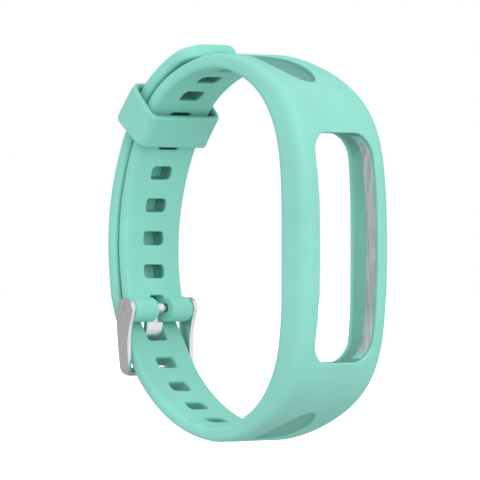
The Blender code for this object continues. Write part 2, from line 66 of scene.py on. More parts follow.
# The wrist face of the band, one row per station: y, z, thickness, half width. The front half runs
# from the middle of the window frame to the top of the loop, and the lower front is its mirror image.
FRONT_HALF = [
    (-19.80, 0.0, 6.60, 12.00),
    (-19.55, 12.8, 6.25, 12.00),
    (-18.60, 19.2, 5.80, 11.90),
    (-16.50, 23.7, 5.25, 11.30),
    (-12.90, 27.7, 4.05, 10.20),
    (-9.20, 30.0, 3.45, 9.30),
    (-5.20, 31.5, 3.00, 8.60),
    (-1.00, 32.0, 2.65, 8.20),
]
KNUCKLE_ROOT = (18.45, -10.6, 2.15, 7.55)
BUCKLE_SIDE_TOP = [(8.70, 28.55, 2.28, 8.30), (4.10, 31.0, 2.35, 8.20)]
TAIL_SIDE_LOW = [
    (3.40, -31.35, 2.30, 8.10),
    (7.75, -29.4, 2.20, 8.05),
    (11.50, -26.65, 2.10, 7.95),
    (14.50, -23.45, 2.10, 7.85),
    (16.80, -19.85, 2.10, 7.75),
    (18.75, -15.95, 2.10, 7.60),
    (20.40, -12.9, 2.10, 7.40),
    (21.60, -9.0, 2.15, 7.35),
]
# The back of the loop, which the keeper slides on, is an arc: centre (y, z), radius and span in degrees.
BACK_ARC_CENTRE = (-27.5, 0.0)
BACK_ARC_RADIUS = 47.0
BACK_ARC_SPAN = (-7.0, 33.0)
BACK_ARC_HALF_WIDTHS = (7.45, 8.25)
STRAP_THICKNESS = 2.25
# The tail lies outside the buckle's strap from its start (y, z) to its tip, and lifts off it at the tip.
LAYER_GAP = 0.50
TAIL_START = (19.2, -4.5)
TAIL_TIP = (2.6, 31.6)
TAIL_THICKNESSES = (2.15, 2.35)
TAIL_HALF_WIDTHS = (7.40, 7.80)
TAIL_LIFT = 0.35
TIP_ROUNDING = 4.3

# No place by the knuckle is farther along the strip than this.
KNUCKLE_REACH = 20.0
# The share of the strip's length at which the window's frame starts, and at which it ends.
FRAME_SHARES = (0.2, 0.6)

# Corner radii of the cross-section, and the thicknesses between which the strap's become the frame's.
STRAP_EDGE_RADIUS = 0.85
FRAME_OUTER_RADIUS = 2.30
FRAME_INNER_RADIUS = 1.50
EDGE_BLEND = (2.4, 6.4)

# Slots: their places along the buckle's strap, then the tail's, some from the first one below the
# buckle and the others from the slot that the pin is in. A taper is how much a half size shrinks
# towards the outside, in length and in height.
SLOT_LENGTH = 5.60
SLOT_HEIGHT = 2.40
SLOT_CORNER = 0.80
BUCKLE_SLOTS = [6.34, 12.32, 18.30, 24.28, 30.00, 34.95, 40.05, 45.10, 50.10]
TONGUE_SLOT_LOW_END = (18.15, -16.7)
TONGUE_SLOT_HIGH_END = (20.40, -12.8)
TONGUE_SLOT_TAPER = (0.42, 0.0)
TONGUE_SLOT_DRAG = 1.5
TAIL_SLOT_FIRST = (16.2, -20.7)
TAIL_SLOT_PITCH = 5.30
TAIL_SLOTS_BELOW = 5
TAIL_UPPER_FIRST = 8.1
TAIL_UPPER_PITCH = 6.25
TAIL_END_MARGIN = 6.0
TAIL_SLOT_TAPER = (1.45, 1.02)

# The window, and the grey strips in its long walls, which reach this many degrees round its corners.
WINDOW_HALF_WIDTH = 8.15
WINDOW_HALF_HEIGHT = 20.4
WINDOW_CORNER = 4.2
WINDOW_CUT_Y = (-28.5, -15.5)
LINER_REACH = 60.0
LINER_FRONT_DEPTH = 0.75
LINER_HEIGHT = 2.10
LINER_THICKNESS = 0.80
LINER_PROUD = 0.05
LINER_EDGE = 0.04

# The two oval recesses above and below the window, each with a step inside its rim.
RECESS_HALF_WIDTH = 4.7
RECESS_HALF_LENGTH = 6.03
RECESS_DEPTH = 1.0
RECESS_STEP_INSET = 1.1
RECESS_STEP_DEPTH = 0.45
RECESS_CENTRE = (-10.0, 31.0)

# The knuckle and the gap in it, as (y, z) corners. The spring bar lies on the pivot.
PIVOT = (18.60, -11.0)
KNUCKLE_RADIUS = 2.28
KNUCKLE_SAG = 0.25
KNUCKLE_HALF_WIDTH = 7.80
KNUCKLE_EDGE = 0.7
KNUCKLE_BORE = 0.80
TONGUE_GAP_HALF = 1.95
TONGUE_GAP = [(15.4, -13.6), (19.6, -13.6), (20.35, -12.5), (21.05, -10.5), (21.25, -8.7), (15.4, -8.7)]

# The buckle's arms run from the pivot to the cross bar.
ARM_INNER_X = 8.10
ARM_THICKNESS = 1.10
ARM_CENTRES = [(18.6, -11.0), (19.0, -14.3), (19.05, -17.0), (18.85, -19.6), (18.72, -22.45)]
ARM_HALF_WIDTHS = [1.88, 1.45, 1.20, 1.10, 0.92]
BAR_RADIUS = 0.74
BAR_CORNER = 1.1
ARM_EDGE = 0.17
# A corner radius stays this much of the half size, so that a round section keeps its side points.
NEARLY_ROUND = 0.98
ARM_HOLE_RADIUS = 0.385

# The pin: its shank fits the knuckle's gap, and its blade goes out through the tail and down to the bar.
SHANK_HALF_WIDTH = 0.90
BLADE_HALF_WIDTHS = (2.25, 2.15)
TONGUE_RING_RADIUS = 1.06
TONGUE_RING_EDGE = 0.18
TONGUE_BORE = 0.74
TONGUE_HALF_THICKNESS = 0.48
TONGUE_EDGE = 0.26
TONGUE_END = 0.45
TONGUE_LINE = [
    (19.25, -11.6),
    (19.53, -13.6),
    (19.66, -14.6),
    (19.95, -15.5),
    (20.28, -16.5),
    (20.42, -17.7),
    (20.45, -19.2),
    (20.40, -20.8),
    (20.25, -22.2),
    (20.10, -23.2),
]

BARREL_RADIUS = 0.65
BARREL_BORE = 0.45
BARREL_HALF_LENGTH = 7.50
# The barrel's end is rolled in: how far each point is from the end, and below the full radius.
BARREL_ROLL = [(0.0, 0.14), (0.12, 0.05), (0.32, 0.0)]
PLUNGER_RADIUS = 0.36
PLUNGER_TIP_X = 9.17
PLUNGER_ROOT_X = 4.70

# The keeper: its place on the arc and its lean in degrees, and its skew as slide per rise.
KEEPER_ANGLE = 28.6
KEEPER_TILT = 5.0
KEEPER_SKEW = 0.24
KEEPER_WIDTH = 6.8
KEEPER_WALL = 1.10
KEEPER_HALF_WIDTH = 8.55
KEEPER_LAYER_GAP = 0.62
KEEPER_CORNERS = (0.9, 1.9)
KEEPER_EDGE = 0.42

# ---------------------------------------------------------------- fineness and looks

BAND_VOXEL = 0.20
BAND_SMOOTHING = 6
BAND_TRIANGLES = 190_000

# Where along Z, in metres, the liner's grey film ends, and how far its strands reach.
LINER_FADE = (0.0216, 0.0230)
LINER_STRANDS = 0.0075

# Strength of the room's light from straight below and from straight above.
ROOM_LIGHT = (0.62, 0.98)
KEY_PLACE = (-0.55, -0.85, 0.45)
KEY_SIZE = 0.7
KEY_POWER = 3.0
FLOOR_RADIUS = 3.0
FLOOR_GAP = 0.0004

TEAL = (0.30, 0.77, 0.66)
STEEL = (0.80, 0.81, 0.82)
# Painted shade in the silicone's hollows: the factor on the colour where it is deepest, and how much of
# it
# each kind takes: the upper and lower recess, the slots, the middle and the ends of the window's wall,
# and the keeper's inside.
PAINTED_SHADE_TONE = 0.42
RECESS_PAINTED_SHADES = (0.80, 0.42)
SLOT_PAINTED_SHADE = 1.0
WINDOW_PAINTED_SHADES = (0.50, 0.85)
KEEPER_PAINTED_SHADE = 0.9
# Painted shade starts this far outside a slot's or the window's rim, and on the window's wall it deepens
# between these heights.
SHADE_RIM = 0.08
WINDOW_RIM = 0.12
WINDOW_ENDS = (14.0, 19.0)
# The tail lies in the buckle's shelter about this height, over this reach, and takes this much painted
# shade there.
SHELTER = (-17.0, 11.0)
SHELTER_SHADE = 0.26
# What a mirror sees of the room: its tone along a leaning direction, from behind (0) to in front (1).
GLOSS_LEAN = (0.30, -0.80, 0.35)
GLOSS_BANDS = [
    (0.00, 0.42),
    (0.13, 0.50),
    (0.34, 0.34),
    (0.50, 0.26),
    (0.66, 0.36),
    (0.78, 0.90),
    (0.90, 1.00),
    (1.00, 0.90),
]

CAMERA_AZIMUTH = -50.0
CAMERA_DISTANCE = 1.2
CAMERA_LENS = 501.0
CAMERA_AIM = (0.00047, -0.00056, 0.00135)


# ---------------------------------------------------------------- meshes


def link_mesh(name, mesh, scale=MM):
    """Links a mesh made in millimetres as an object in metres, shaded smooth."""
    if scale != 1.0:
        mesh.transform(((scale, 0, 0, 0), (0, scale, 0, 0), (0, 0, scale, 0), (0, 0, 0, 1)))
    mesh.shade_smooth()
    obj = bpy.data.objects.new(name, mesh)
    bpy.context.scene.collection.objects.link(obj)
    return obj


def skin(bm, loops, closed=False):
    """Skins a row of equal loops of points, with flat ends unless it closes on itself."""
    rings = [[bm.verts.new(point) for point in loop] for loop in loops]
    pairs = list(zip(rings, rings[1:]))
    if closed:
        pairs.append((rings[-1], rings[0]))
    for ring, after in pairs:
        for i in range(len(ring)):
            j = (i + 1) % len(ring)
            bm.faces.new((ring[i], ring[j], after[j], after[i]))
    if not closed:
        bm.faces.new(rings[0][::-1])
        bm.faces.new(rings[-1])


def solid(name, loops, closed=False):
    """A closed mesh skinned over loops of points."""
    bm = bmesh.new()
    skin(bm, loops, closed)
    bmesh.ops.recalc_face_normals(bm, faces=bm.faces)
    mesh = bpy.data.meshes.new(name)
    bm.to_mesh(mesh)
    bm.free()
    return mesh


def shape_with_cuts(mesh, steps, finishing=()):
    """Applies Boolean steps (operation, mesh) and then modifiers (type, settings) to a mesh."""
    collection = bpy.context.scene.collection
    body = bpy.data.objects.new("work", mesh)
    collection.objects.link(body)
    helpers = []
    for operation, other in steps:
        helper = bpy.data.objects.new("helper", other)
        collection.objects.link(helper)
        helpers.append(helper)
        modifier = body.modifiers.new("cut", "BOOLEAN")
        modifier.operation = operation
        modifier.solver = "EXACT"
        modifier.object = helper
    for kind, settings in finishing:
        modifier = body.modifiers.new(kind.lower(), kind)
        for key, value in settings.items():
            setattr(modifier, key, value)
    bpy.context.view_layer.update()
    graph = bpy.context.evaluated_depsgraph_get()
    made = bpy.data.meshes.new_from_object(body.evaluated_get(graph))
    for obj in [body, *helpers]:
        bpy.data.objects.remove(obj)
    return made


def vertex_array(mesh):
    points = np.empty(len(mesh.vertices) * 3)
    mesh.vertices.foreach_get("co", points)
    return points.reshape(-1, 3)


def set_vertices(mesh, points):
    mesh.vertices.foreach_set("co", np.ascontiguousarray(points, np.float32).ravel())
    mesh.update()


def rounded_rectangle(half_length, half_height, corner, steps=3, sides=(1, 1)):
    """Points of a rounded rectangle, anticlockwise, with its straight sides cut into equal runs."""
    points = []
    for sx, sy, start in ((1, 1, 0), (-1, 1, 90), (-1, -1, 180), (1, -1, 270)):
        for i in range(steps + 1):
            turn = math.radians(start + 90.0 * i / steps)
            x = sx * (half_length - corner) + corner * math.cos(turn)
            points.append((x, sy * (half_height - corner) + corner * math.sin(turn)))
    full = []
    for k, point in enumerate(points):
        full.append(point)
        if k % (steps + 1) != steps:
            continue
        after = points[(k + 1) % len(points)]
        runs = sides[0] if (k // (steps + 1)) % 2 == 0 else sides[1]
        for i in range(1, runs):
            share = i / runs
            full.append(tuple(a + (b - a) * share for a, b in zip(point, after)))
    return full


def smooth_through(rows):
    """A natural cubic spline through rows of numbers, by chord length of the first two columns."""
    rows = np.array(rows, float)
    steps = np.hypot(*(rows[1:, :2] - rows[:-1, :2]).T)
    knots = np.concatenate([[0.0], np.cumsum(steps)])
    count = len(rows)
    matrix = np.eye(count)
    right = np.zeros_like(rows)
    for i in range(1, count - 1):
        before, after = steps[i - 1], steps[i]
        matrix[i, i - 1 : i + 2] = before, 2 * (before + after), after
        right[i] = 6 * ((rows[i + 1] - rows[i]) / after - (rows[i] - rows[i - 1]) / before)
    bend = np.linalg.solve(matrix, right)

    def at(values):
        values = np.clip(np.atleast_1d(values), knots[0], knots[-1])
        i = np.clip(np.searchsorted(knots, values, side="right") - 1, 0, count - 2)
        width = (knots[i + 1] - knots[i])[:, None]
        low = (values - knots[i])[:, None]
        high = width - low
        curve = (bend[i] * high**3 + bend[i + 1] * low**3) / (6 * width)
        curve += (rows[i] / width - bend[i] * width / 6) * high
        return curve + (rows[i + 1] / width - bend[i + 1] * width / 6) * low

    return at, knots[-1]


# ---------------------------------------------------------------- the band's course


class StripPath:
    """The wrist face as a curve by length, with the band's thickness and half width along it."""

    def __init__(self, rows):
        at, end = smooth_through(rows)
        self.rows = at(np.linspace(0.0, end, 4001))
        steps = np.hypot(*np.diff(self.rows[:, :2], axis=0).T)
        self.along = np.concatenate([[0.0], np.cumsum(steps)])
        self.length = self.along[-1]
        tangents = np.gradient(self.rows[:, :2], self.along, axis=0)
        self.tangents = tangents / np.linalg.norm(tangents, axis=1)[:, None]

    def interpolated(self, table, s):
        return np.stack([np.interp(s, self.along, column) for column in table.T], axis=-1)

    def thickness(self, s):
        return np.interp(s, self.along, self.rows[:, 2])

    def half_width(self, s):
        return np.interp(s, self.along, self.rows[:, 3])

    def bend(self, flat):
        """Strip points (length, across, height) as points of the loop, straight on past its ends."""
        flat = np.atleast_2d(np.asarray(flat, float))
        s, height = flat[:, 0], flat[:, 2]
        past = s - np.clip(s, 0.0, self.length)
        point = self.interpolated(self.rows[:, :2], s)
        tangent = self.interpolated(self.tangents, s)
        tangent /= np.linalg.norm(tangent, axis=1)[:, None]
        y = point[:, 0] + tangent[:, 0] * past + tangent[:, 1] * height
        z = point[:, 1] + tangent[:, 1] * past - tangent[:, 0] * height
        return np.stack([flat[:, 1], y, z], axis=1)

    def flatten(self, points, low=0.0, high=math.inf):
        """Points (x, y, z) near the band between two lengths, as strip points."""
        points = np.atleast_2d(np.asarray(points, float))
        inside = np.flatnonzero((self.along >= low) & (self.along <= high))
        away = points[:, None, 1:] - self.rows[None, inside, :2]
        near = inside[np.argmin((away**2).sum(axis=2), axis=1)]
        offset = points[:, 1:] - self.rows[near, :2]
        tangent = self.tangents[near]
        slide = (offset * tangent).sum(axis=1)
        height = offset[:, 0] * tangent[:, 1] - offset[:, 1] * tangent[:, 0]
        return np.stack([self.along[near] + slide, points[:, 0], height], axis=1)

    def nearest(self, y, z, low=0.0, high=math.inf):
        return self.flatten([(0.0, y, z)], low, high)[0, 0]


def arc_rows():
    """Stations on the back arc that the keeper travels on, lowest first."""
    rows = []
    low, high = BACK_ARC_HALF_WIDTHS
    for share in np.linspace(0.0, 1.0, 8):
        turn = math.radians(BACK_ARC_SPAN[0] + (BACK_ARC_SPAN[1] - BACK_ARC_SPAN[0]) * share)
        y = BACK_ARC_CENTRE[0] + BACK_ARC_RADIUS * math.cos(turn)
        z = BACK_ARC_CENTRE[1] + BACK_ARC_RADIUS * math.sin(turn)
        rows.append((y, z, STRAP_THICKNESS, low + (high - low) * share**1.5))
    return rows


def band_rows():
    """All stations of the strip: the buckle's strap, the front, the lower tail, and the outer tail."""
    upper = [KNUCKLE_ROOT] + arc_rows() + BUCKLE_SIDE_TOP + FRONT_HALF[::-1]
    lower = [(y, -z, thick, half) for y, z, thick, half in FRONT_HALF[1:]] + TAIL_SIDE_LOW
    inner = StripPath(upper)
    low = inner.nearest(*TAIL_START, high=KNUCKLE_REACH)
    high = inner.nearest(*TAIL_TIP)
    shares = np.linspace(0.0, 1.0, 16)
    lengths = low + (high - low) * shares
    heights = inner.thickness(lengths) + LAYER_GAP + TAIL_LIFT * shares**4
    places = inner.bend(np.stack([lengths, 0.0 * lengths, heights], axis=1))
    outer = []
    for share, (_, y, z) in zip(shares, places):
        thick = TAIL_THICKNESSES[0] + (TAIL_THICKNESSES[1] - TAIL_THICKNESSES[0]) * share
        half = TAIL_HALF_WIDTHS[0] + (TAIL_HALF_WIDTHS[1] - TAIL_HALF_WIDTHS[0]) * share
        outer.append((y, z, thick, half))
    return upper + lower + outer


# ---------------------------------------------------------------- the band, as a straight strip


def edge_radii(thick):
    """Corner radii grow from the thin strap's to the window frame's with the thickness."""
    thin, full = EDGE_BLEND
    blend = min(max((thick - thin) / (full - thin), 0.0), 1.0)
    blend = blend * blend * (3.0 - 2.0 * blend)
    inner = STRAP_EDGE_RADIUS + (FRAME_INNER_RADIUS - STRAP_EDGE_RADIUS) * blend
    outer = STRAP_EDGE_RADIUS + (FRAME_OUTER_RADIUS - STRAP_EDGE_RADIUS) * blend
    return inner, outer


def strip_section(s, half, low, high, radii, steps=7):
    """The strip's cross-section at one length: a rectangle with rounded corners."""
    inner, outer = (min(radius, (high - low) * 0.49, half * 0.9) for radius in radii)
    loop = []
    corners = ((1, high, outer, 0), (-1, high, outer, 90), (-1, low, inner, 180), (1, low, inner, 270))
    for sx, level, radius, start in corners:
        centre_x = sx * (half - radius)
        centre_h = level - radius if level == high else level + radius
        for i in range(steps + 1):
            turn = math.radians(start + 90.0 * i / steps)
            loop.append((s, centre_x + radius * math.cos(turn), centre_h + radius * math.sin(turn)))
    return loop


def strip_body(path):
    """The plain strip from the knuckle to the tail's tip, which is round in plan and at its edge."""
    end = path.length - 0.05
    tip_start = path.length - TIP_ROUNDING
    lengths = list(np.linspace(0.0, tip_start, 320))
    lengths += [tip_start + (end - tip_start) * math.sin(math.pi / 2 * i / 24) for i in range(1, 25)]
    loops = []
    for s in lengths:
        thick, half = path.thickness(s), path.half_width(s)
        if s > tip_start:
            half *= math.sqrt(max(1.0 - ((s - tip_start) / TIP_ROUNDING) ** 2.4, 0.012))
        over = max(s - (end - STRAP_EDGE_RADIUS), 0.0) / STRAP_EDGE_RADIUS
        pinch = STRAP_EDGE_RADIUS * (1.0 - math.sqrt(max(1.0 - over**2, 0.02)))
        loops.append(strip_section(s, half, pinch, thick - pinch, edge_radii(thick)))
    return solid("strip", loops)


def roller(s, height, radius, half_length, edge=0.0, sides=64):
    """A cylinder across the strip, with its rims rounded off if an edge radius is given."""
    profile = [(-half_length, radius - edge)]
    for t in np.linspace(0.0, math.pi / 2, 7)[1:] if edge else ():
        inset = edge * (1 - math.cos(t))
        profile.append((-half_length + inset, radius - edge * (1 - math.sin(t))))
    profile += [(-x, r) for x, r in profile[::-1]]
    turns = [2 * math.pi * i / sides for i in range(sides)]
    loops = [[(s + r * math.cos(t), x, height + r * math.sin(t)) for t in turns] for x, r in profile]
    return solid("roller", loops)


def knuckle_steps(path):
    """The knuckle at the strip's end, its bore, and the gap that the tongue turns in."""
    s, _, height = path.flatten([(0.0, PIVOT[0], PIVOT[1] - KNUCKLE_SAG)], high=KNUCKLE_REACH)[0]
    knuckle = roller(s, height, KNUCKLE_RADIUS, KNUCKLE_HALF_WIDTH, KNUCKLE_EDGE)
    s, _, height = path.flatten([(0.0, *PIVOT)], high=KNUCKLE_REACH)[0]
    bore = roller(s, height, KNUCKLE_BORE, KNUCKLE_HALF_WIDTH + 1.0)
    corners = path.flatten([(0.0, y, z) for y, z in TONGUE_GAP], high=KNUCKLE_REACH)
    gap = [[(a, x, h) for a, _, h in corners] for x in (-TONGUE_GAP_HALF, TONGUE_GAP_HALF)]
    return [("UNION", knuckle), ("DIFFERENCE", bore), ("DIFFERENCE", solid("gap", gap))]


def slot_places(path):
    """The slots of both straps: length, half height, drag of the outer low wall, and taper."""
    half = SLOT_HEIGHT / 2
    slots = [(s, half, 0.0, (0.0, 0.0)) for s in BUCKLE_SLOTS]
    middle = path.length / 2
    first = path.nearest(*TAIL_SLOT_FIRST, low=middle)
    places = [first - TAIL_SLOT_PITCH * i for i in range(TAIL_SLOTS_BELOW)]
    low = path.nearest(*TONGUE_SLOT_LOW_END, low=middle)
    high = path.nearest(*TONGUE_SLOT_HIGH_END, low=middle)
    s = (low + high) / 2 + TAIL_UPPER_FIRST
    while s < path.length - TAIL_END_MARGIN:
        places.append(s)
        s += TAIL_UPPER_PITCH
    slots += [(s, half, 0.0, TAIL_SLOT_TAPER) for s in places]
    return slots + [((low + high) / 2, (high - low) / 2, TONGUE_SLOT_DRAG, TONGUE_SLOT_TAPER)]


def slot_cutters(path):
    """One mesh of all the slots' cutters, each from inside the strip to past its outer face."""
    bm = bmesh.new()
    for s, half, drag, taper in slot_places(path):
        thick = float(path.thickness(s))
        loops = []
        for level, share in ((-1.0, 0.0), (0.0, 0.0), (thick, 1.0), (thick + 1.0, 1.0)):
            pull = drag * share
            half_x = SLOT_LENGTH / 2 - taper[0] * share
            half_s = half + pull / 2 - taper[1] * share
            outline = rounded_rectangle(half_x, half_s, min(SLOT_CORNER, half_s * 0.9), 8)
            loops.append([(s + slide - pull / 2, x, level) for x, slide in outline])
        skin(bm, loops)
    bmesh.ops.recalc_face_normals(bm, faces=bm.faces)
    mesh = bpy.data.meshes.new("slots")
    bm.to_mesh(mesh)
    bm.free()
    return mesh


def window_outline():
    """The window's outline as (x, z) pairs."""
    sizes = (WINDOW_HALF_WIDTH, WINDOW_HALF_HEIGHT, WINDOW_CORNER)
    return rounded_rectangle(*sizes, 16, sides=(8, 36))


def liner_run(side, grow, steps=14, straights=40):
    """The side of the window that one grey strip follows, lowest point first, as (x, z) pairs."""
    centre_x = WINDOW_HALF_WIDTH - WINDOW_CORNER
    centre_z = WINDOW_HALF_HEIGHT - WINDOW_CORNER
    radius = WINDOW_CORNER + grow
    turns = np.radians(np.linspace(0.0, LINER_REACH, steps + 1))
    upper = [(side * (centre_x + radius * math.cos(t)), centre_z + radius * math.sin(t)) for t in turns]
    run = [(x, -z) for x, z in upper[::-1]]
    for i in range(1, straights):
        run.append((side * (centre_x + radius), centre_z * (2.0 * i / straights - 1.0)))
    return run + upper


def frame_stretch(path, more=0.0):
    """The lengths between which the band is the window's frame, or more of the band on both sides."""
    return path.length * (FRAME_SHARES[0] - more), path.length * (FRAME_SHARES[1] + more)


def front_face_y(path, z):
    """Where the window frame's front face lies at height z."""
    low, high = frame_stretch(path)
    s = path.nearest(FRONT_HALF[0][0], z, low, high)
    for _ in range(8):
        place = path.bend([(s, 0.0, float(path.thickness(s)))])[0]
        s += place[2] - z
    return place[1]


def strip_in_window(path, side, inner, outer, front, back, edge, steps=4):
    """Loops of a strip in the window's wall, between two sizes and two depths behind the front face."""
    section = rounded_rectangle((outer - inner) / 2, (back - front) / 2, edge, steps)
    runs = [liner_run(side, grow) for grow in (0.0, inner, outer)]
    loops = []
    for (_, edge_z), near, far in zip(*runs):
        middle = front_face_y(path, edge_z) + (front + back) / 2
        loop = []
        for across, depth in section:
            share = 0.5 + across / (outer - inner)
            x, z = (a + (b - a) * share for a, b in zip(near, far))
            loop.append((x, middle + depth, z))
        loops.append(loop)
    return loops


def window_steps(path):
    """The window, which is straight along Y once bent. Its wall holds the liners without a gap."""
    stretch = frame_stretch(path)
    levels = np.linspace(*WINDOW_CUT_Y, 14)
    hole = [[(x, y, z) for x, z in window_outline()] for y in levels]
    return [("DIFFERENCE", solid("window", [path.flatten(loop, *stretch) for loop in hole]))]


def recess_middle(path, side):
    """How far along the strip the upper (1) or lower (-1) recess lies."""
    y, z = RECESS_CENTRE
    return path.nearest(y, z * side, *frame_stretch(path, 0.05))


def recess_cutter(path, side, grow, low, high):
    """An oval that follows the frame's outer face, cut between two heights relative to it."""
    middle = recess_middle(path, side)
    turns = [2 * math.pi * i / 72 for i in range(72)]
    loops = []
    for level, shares in ((low, (0.02, 0.25, 0.5, 0.75, 1.0)), (high, (1.0, 0.75, 0.5, 0.25, 0.02))):
        for share in shares:
            loop = []
            for turn in turns:
                s = middle + (RECESS_HALF_LENGTH + grow) * share * math.sin(turn)
                x = (RECESS_HALF_WIDTH + grow) * share * math.cos(turn)
                loop.append((s, x, float(path.thickness(s)) + level))
            loops.append(loop)
    return solid("recess", loops)


def recess_steps(path):
    """Both recesses: an oval pocket, and a smaller and deeper one in its floor."""
    steps = []
    deep = -RECESS_DEPTH - RECESS_STEP_DEPTH
    for side in (1, -1):
        steps.append(("DIFFERENCE", recess_cutter(path, side, 0.0, -RECESS_DEPTH, 1.0)))
        steps.append(("DIFFERENCE", recess_cutter(path, side, -RECESS_STEP_INSET, deep, 0.5)))
    return steps


def store_painted_shade(mesh, values):
    """Stores the painted shade on each point of a silicone piece, from 0 in the open to 1 in the deepest
    hollows.
    """
    layer = mesh.attributes.new("painted_shade", "FLOAT", "POINT")
    layer.data.foreach_set("value", np.clip(values, 0.0, 1.0).astype(np.float32))


def painted_recess_shade(path, flat):
    """The painted shade on the recesses' floors and walls, at each strip point."""
    s, x, height = flat.T
    depth = path.thickness(s) - height
    deepest = RECESS_DEPTH + RECESS_STEP_DEPTH + 0.4
    shades = np.zeros(len(flat))
    for side, weight in zip((1, -1), RECESS_PAINTED_SHADES):
        along = (s - recess_middle(path, side)) / RECESS_HALF_LENGTH
        share = np.hypot(along, x / RECESS_HALF_WIDTH)
        inside = np.clip((1.05 - share) / 0.05, 0.0, 1.0)
        sunk = np.clip((depth - 0.12) / 0.35, 0.0, 1.0) * (depth < deepest)
        shades = np.maximum(shades, weight * inside * sunk)
    return shades


def painted_slot_shade(path, flat):
    """The painted shade on the slots' walls, which starts a little below both faces of the strap."""
    s, x, height = flat.T
    depth = path.thickness(s) - height
    buried = np.clip(np.minimum(depth, height) / 0.45 - 0.25, 0.0, 1.0)
    shades = np.zeros(len(flat))
    for middle, half, drag, _ in slot_places(path):
        low, high = middle - half - drag - SHADE_RIM, middle + half + SHADE_RIM
        inside = (s > low) & (s < high) & (np.abs(x) < SLOT_LENGTH / 2 + SHADE_RIM)
        shades = np.maximum(shades, SLOT_PAINTED_SHADE * inside * buried)
    return shades


def shelter_shades(path, flat):
    """The soft shade of the tail where the buckle and the knuckle keep the light off."""
    _, y, z = path.bend(flat).T
    reach = np.clip(1.0 - np.abs(z - SHELTER[0]) / SHELTER[1], 0.0, 1.0)
    on_tail = (flat[:, 0] > path.length / 2) & (y > 0.0)
    return SHELTER_SHADE * (reach * on_tail) ** 0.6


def painted_window_shade(path, flat):
    """The painted shade on the window's wall, darker towards its upper and lower ends."""
    s, x, height = flat.T
    depth = path.thickness(s) - height
    low, high = frame_stretch(path)
    _, y, z = path.bend(flat).T
    inside = (s > low) & (s < high) & (np.abs(x) < WINDOW_HALF_WIDTH + WINDOW_RIM)
    inside &= (np.abs(z) < WINDOW_HALF_HEIGHT + WINDOW_RIM) & (y < 0.0)
    start, stop = WINDOW_ENDS
    ends = np.clip((np.abs(z) - start) / (stop - start), 0.0, 1.0)
    buried = np.clip(np.minimum(depth / 0.5, height / 0.9) - 0.3, 0.0, 1.0)
    middle_shade, end_shade = WINDOW_PAINTED_SHADES
    return (middle_shade + (end_shade - middle_shade) * ends) * inside * buried


def paint_shade_in_hollows(mesh, path, flat):
    """Stores painted shade for the insides of the recesses, slots and window, and for the sheltered
    stretch of the tail.
    """
    kinds = (painted_recess_shade, painted_slot_shade, shelter_shades, painted_window_shade)
    store_painted_shade(mesh, np.max([kind(path, flat) for kind in kinds], axis=0))


def build_band(path, material):
    """The whole moulding: cut as a strip, its rims softened, bent to the loop, and thinned out."""
    steps = knuckle_steps(path) + [("DIFFERENCE", slot_cutters(path))]
    steps += window_steps(path) + recess_steps(path)
    finishing = [
        ("REMESH", {"mode": "VOXEL", "voxel_size": BAND_VOXEL}),
        ("SMOOTH", {"factor": 0.5, "iterations": BAND_SMOOTHING}),
    ]
    mesh = shape_with_cuts(strip_body(path), steps, finishing)
    flat = vertex_array(mesh)
    # Painted shade for the band's recesses, slots, window and the tail's shelter, stored on its points.
    paint_shade_in_hollows(mesh, path, flat)
    set_vertices(mesh, path.bend(flat))
    mesh.calc_loop_triangles()
    share = BAND_TRIANGLES / len(mesh.loop_triangles)
    if share < 1.0:
        mesh = shape_with_cuts(mesh, [], [("DECIMATE", {"ratio": share})])
    mesh.materials.clear()
    mesh.materials.append(material)
    band = link_mesh("band_moulding", mesh)
    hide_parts("band")
    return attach(band, "band_body")


# ---------------------------------------------------------------- the other pieces


def finished(name, mesh, material, node, body, sharp=None):
    """Links a finished piece that stands for a CAD node and moves with its body."""
    mesh.materials.clear()
    mesh.materials.append(material)
    piece = link_mesh(name, mesh)
    if sharp:
        piece.data.set_sharp_from_angle(angle=math.radians(sharp))
    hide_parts(node)
    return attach(piece, body)


def build_liners(path, material):
    """The two grey strips let into the long sides of the window."""
    depth = LINER_FRONT_DEPTH
    for side, word in ((-1, "left"), (1, "right")):
        sizes = (-LINER_PROUD, LINER_THICKNESS, depth, depth + LINER_HEIGHT)
        mesh = solid("liner", strip_in_window(path, side, *sizes, LINER_EDGE))
        name, node = f"liner_strip_{word}", f"window_liner_{word}"
        finished(name, mesh, material, node, "band_body", 50)


